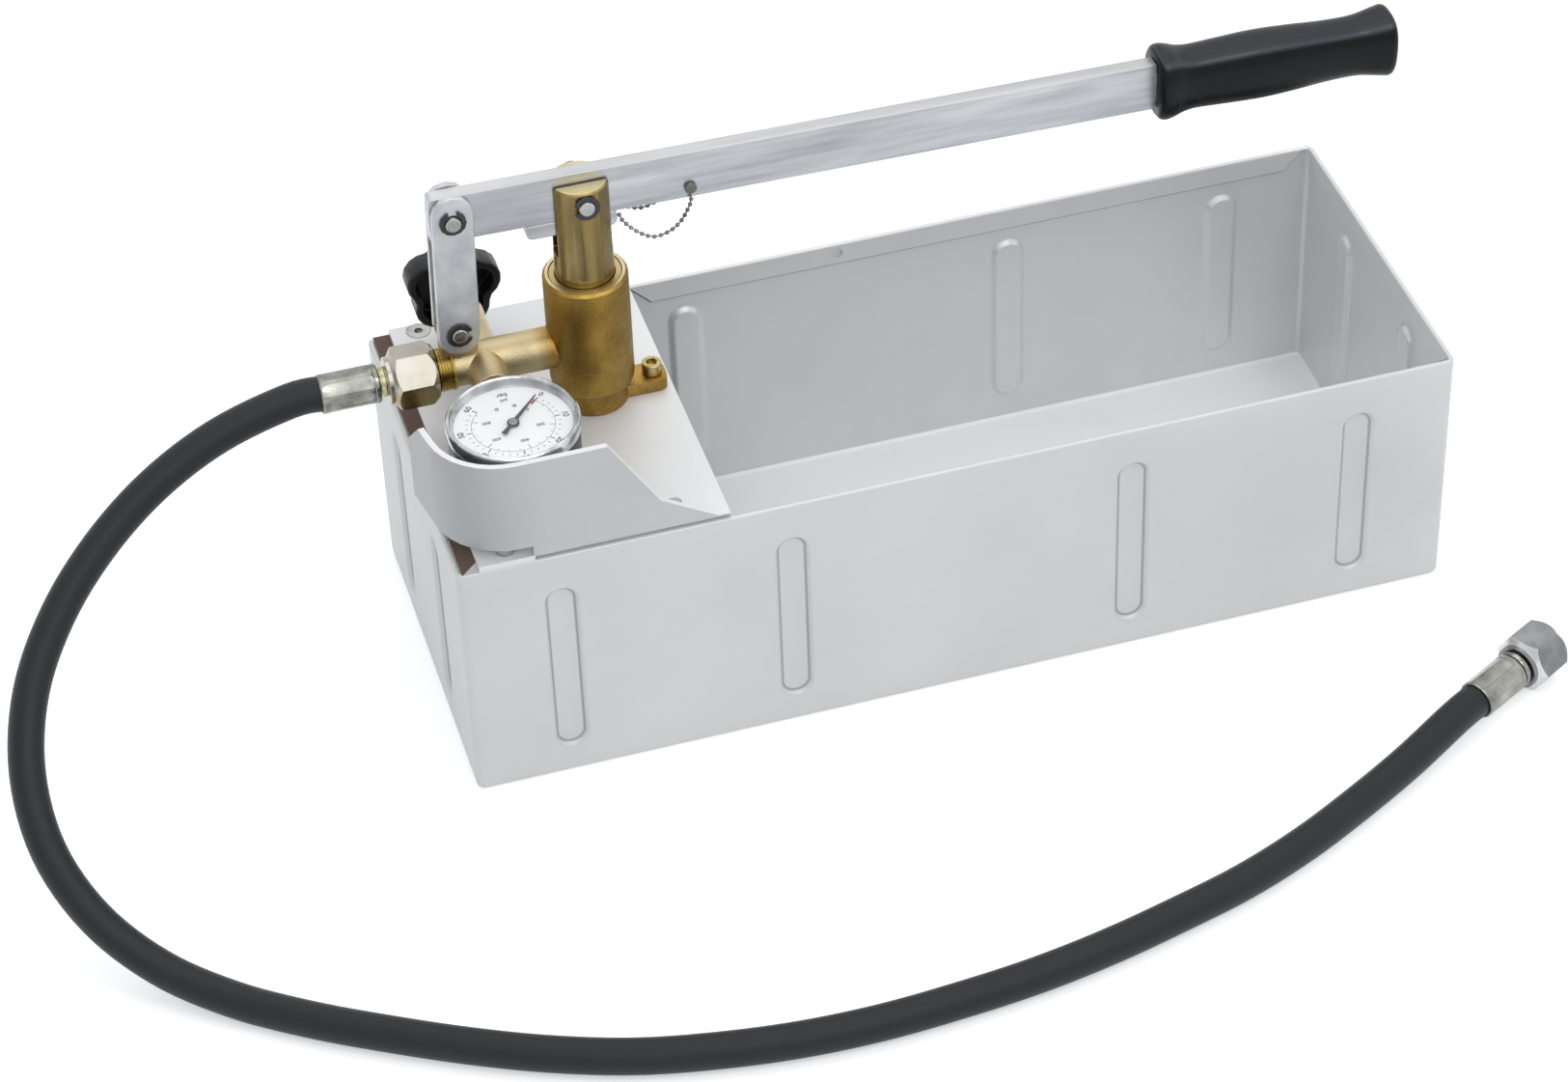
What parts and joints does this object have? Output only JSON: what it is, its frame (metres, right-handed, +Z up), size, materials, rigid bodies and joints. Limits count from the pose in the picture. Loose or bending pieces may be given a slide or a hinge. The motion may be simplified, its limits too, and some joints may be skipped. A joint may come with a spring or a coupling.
{
  "type": "hydrostatic test pump",
  "caption": "Lever hand pump on a folded steel water tank, with pressure gauge, release valve and hose for pressure tests of pipework.",
  "frame": {"origin": "middle of the tank's underside", "axes": "+X along the tank from the pump to the grip, +Y from the gauge side to the knob side, +Z up"},
  "size_m": [0.7474, 0.412, 0.279],
  "materials": {
    "stainless_tank": "satin",
    "painted_deck": "satin light grey coating",
    "zinc_plate": "bright zinc plating",
    "yellow_zinc": "yellow passivated zinc plating",
    "polished_steel": "polished",
    "black_steel": "blackened",
    "brass": "turned and cast, slightly dull",
    "rubber": "smooth matt",
    "grip_rubber": "satin moulded",
    "black_plastic": "moulded, fine grain",
    "white_dial": "matt white with a plain printed scale",
    "clear_lens": "clear"
  },
  "bodies": {
    "pump_stand": {"tank": "stainless_tank", "deck_guard": "painted_deck", "deck_screw_back_left": "zinc_plate", "deck_screw_back_right": "zinc_plate", "deck_screw_front_left": "zinc_plate", "deck_screw_front_right": "zinc_plate", "ear_screw": "yellow_zinc", "pump_body": "brass", "body_nut": "brass", "plunger_seal": "rubber", "gland_ring": "brass", "suction_pipe": "black_plastic", "suction_seat": "brass", "strainer": "black_plastic", "delivery_seat": "brass", "delivery_spring": "polished_steel", "spring_guide": "brass", "gauge_case": "black_plastic", "gauge_stem": "brass", "gauge_dial": "white_dial", "gauge_lens": "clear_lens", "valve_bonnet": "brass", "packing_nut": "brass", "union_nut_pump": "zinc_plate", "union_washer_pump": "rubber", "hose_nipple_pump": "brass", "hose_ferrule_pump": "zinc_plate", "hose": "rubber", "hose_ferrule_free": "zinc_plate", "hose_nipple_free": "brass", "union_washer_free": "rubber", "union_nut_free": "zinc_plate"},
    "plunger_assembly": {"plunger": "polished_steel", "plunger_pin": "zinc_plate", "plunger_pin_ring_front": "black_steel", "plunger_pin_ring_back": "black_steel"},
    "lever": {"lever_bar": "zinc_plate", "grip": "grip_rubber", "chain_stud": "zinc_plate"},
    "lock": {"lock_bar": "zinc_plate", "lock_chain": "polished_steel"},
    "link": {"link_front": "zinc_plate", "link_back": "zinc_plate", "link_pin_low": "zinc_plate", "link_pin_low_ring_front": "black_steel", "link_pin_low_ring_back": "black_steel", "link_pin_top": "zinc_plate", "link_pin_top_ring_front": "black_steel", "link_pin_top_ring_back": "black_steel"},
    "spindle": {"valve_spindle": "brass"},
    "knob": {"valve_knob": "black_plastic", "knob_nut": "zinc_plate"},
    "needle": {"gauge_needle": "black_steel"},
    "suction_check": {"suction_ball": "polished_steel"},
    "delivery_check": {"delivery_ball": "polished_steel"}
  },
  "joints": [
    {"name": "plunger_stroke", "type": "slide", "parent": "pump_stand", "child": "plunger_assembly", "axis": [0, 0, 1], "range_m": [-0.012, 0.035]},
    {"name": "lever_swing", "type": "hinge", "parent": "plunger_assembly", "child": "lever", "pos_m": [-0.1555, 0.0115, 0.264], "axis": [0, -1, 0], "range_deg": [-12, 35]},
    {"name": "link_rock", "type": "hinge", "parent": "pump_stand", "child": "link", "pos_m": [-0.2196, 0.0115, 0.2001], "axis": [0, -1, 0], "range_deg": [-5.7, 2.1]},
    {"name": "lock_bar_pull", "type": "slide", "parent": "lever", "child": "lock", "axis": [0.9999, 0, -0.0166], "range_m": [0, 0.045]},
    {"name": "spindle_travel", "type": "slide", "parent": "pump_stand", "child": "spindle", "axis": [0, 1, 0], "range_m": [0, 0.00112]},
    {"name": "knob_turn", "type": "hinge", "parent": "spindle", "child": "knob", "pos_m": [-0.2085, 0.0765, 0.176], "axis": [0, 1, 0], "range_deg": [0, 270]},
    {"name": "needle_turn", "type": "hinge", "parent": "pump_stand", "child": "needle", "pos_m": [-0.2085, -0.0516, 0.1868], "axis": [0, 0, -1], "range_deg": [0, 270], "stiffness_Nm_per_rad": 0.0005},
    {"name": "suction_lift", "type": "slide", "parent": "pump_stand", "child": "suction_check", "axis": [0, 0, 1], "range_m": [0, 0.004]},
    {"name": "delivery_lift", "type": "slide", "parent": "pump_stand", "child": "delivery_check", "axis": [-1, 0, 0], "range_m": [0, 0.002], "stiffness_N_per_m": 150, "springref_m": -0.002, "deforming": ["delivery_spring"]}
  ],
  "couplings": [
    {"joint": "plunger_stroke", "follows": "lever_swing", "m_per_rad": 0.05728},
    {"joint": "link_rock", "follows": "lever_swing", "ratio": -0.1588},
    {"joint": "knob_turn", "follows": "spindle_travel", "rad_per_m": 4188.8}
  ]
}
